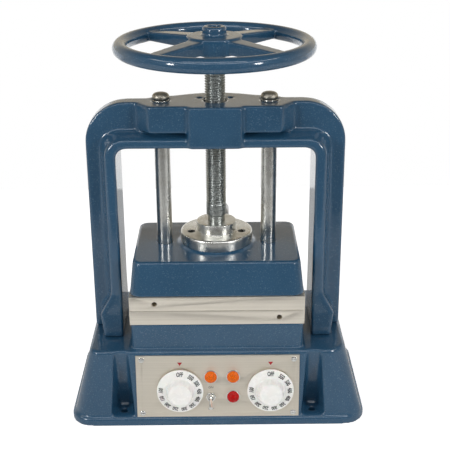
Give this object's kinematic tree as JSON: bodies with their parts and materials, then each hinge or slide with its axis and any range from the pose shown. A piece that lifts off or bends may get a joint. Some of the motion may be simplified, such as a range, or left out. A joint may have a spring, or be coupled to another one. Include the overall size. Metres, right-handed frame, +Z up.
{
  "type": "rubber mold vulcanizer",
  "caption": "Bench press that cures rubber molds: a handwheel and screw bring a heated platen down on a second one over a sloping base with two temperature dials.",
  "frame": {"origin": "on the bench, under the axis of the lifting screw", "axes": "+Z up along the screw; the control panel faces -Y; +X is the right-hand side seen from the front"},
  "size_m": [0.371, 0.2396, 0.484],
  "materials": {
    "blue_enamel": "deep steel-blue gloss enamel over a casting",
    "dark_steel": "black oxide on steel fasteners",
    "zinc_plate": "zinc-plated sheet",
    "screw_brass": "machined bronze",
    "insulation": "fibre board",
    "platen_metal": "ground and finely milled",
    "heater_sheath": "drawn tube",
    "panel_metal": "brushed along its length",
    "bright_screws": "bright plating",
    "black_plastic": "moulded",
    "amber_lens": "moulded lens",
    "red_lens": "moulded lens",
    "dial_plastic": "moulded, printed numbers",
    "polished_steel": "ground and polished",
    "turned_steel": "turned, bright"
  },
  "bodies": {
    "frame": {"base_casting": "blue_enamel", "base_cover": "zinc_plate", "base_cover_screws": "dark_steel", "arch_frame": "blue_enamel", "arch_bolts": "dark_steel", "screw_nut": "screw_brass", "nut_set_screws": "dark_steel", "guide_bush_left": "screw_brass", "guide_bush_right": "screw_brass", "lower_insulation": "insulation", "lower_platen": "platen_metal", "lower_heaters": "heater_sheath", "lower_bulb": "heater_sheath", "lower_platen_bolts": "dark_steel", "control_panel": "panel_metal", "panel_screws": "bright_screws", "thermostat_left": "black_plastic", "thermostat_right": "black_plastic", "lamp_bezels": "bright_screws", "lamp_holders": "black_plastic", "pilot_lamp_left": "amber_lens", "pilot_lamp_right": "amber_lens", "pilot_lamp_lower": "red_lens", "toggle_switch": "bright_screws", "switch_nut": "bright_screws", "power_gland": "black_plastic", "terminal_block": "black_plastic"},
    "carriage": {"upper_housing": "blue_enamel", "upper_insulation": "insulation", "upper_platen": "platen_metal", "upper_heaters": "heater_sheath", "upper_bulb": "heater_sheath", "upper_platen_bolts": "dark_steel", "guide_rod_left": "polished_steel", "guide_rod_right": "polished_steel", "rod_cap_left": "polished_steel", "rod_cap_right": "polished_steel", "thrust_flange": "polished_steel", "flange_screws": "dark_steel", "thrust_washer": "screw_brass", "lead_gland": "zinc_plate"},
    "screw": {"screw_spindle": "turned_steel", "handwheel": "blue_enamel", "wheel_key": "dark_steel", "hub_screw": "dark_steel"},
    "dial_left": {"dial_left": "dial_plastic"},
    "dial_right": {"dial_right": "dial_plastic"},
    "lever": {"toggle_lever": "bright_screws"}
  },
  "joints": [
    {"name": "platen_lift", "type": "slide", "parent": "frame", "child": "carriage", "axis": [0, 0, 1], "range_m": [0, 0.078]},
    {"name": "screw_turn", "type": "hinge", "parent": "carriage", "child": "screw", "pos_m": [0, 0, 0.26], "axis": [0, 0, 1], "range_deg": [0, 8844]},
    {"name": "dial_left_turn", "type": "hinge", "parent": "frame", "child": "dial_left", "pos_m": [-0.0468, -0.08539, 0.04944], "axis": [0, 0.9985, -0.0541], "range_deg": [0, 300]},
    {"name": "dial_right_turn", "type": "hinge", "parent": "frame", "child": "dial_right", "pos_m": [0.0654, -0.08539, 0.04944], "axis": [0, 0.9985, -0.0541], "range_deg": [0, 300]},
    {"name": "lever_flip", "type": "hinge", "parent": "frame", "child": "lever", "pos_m": [-0.0086, -0.0919, 0.04028], "axis": [-1, 0, 0], "range_deg": [0, 50]}
  ],
  "couplings": [
    {"joint": "platen_lift", "follows": "screw_turn", "m_per_rad": 0.00050532}
  ]
}
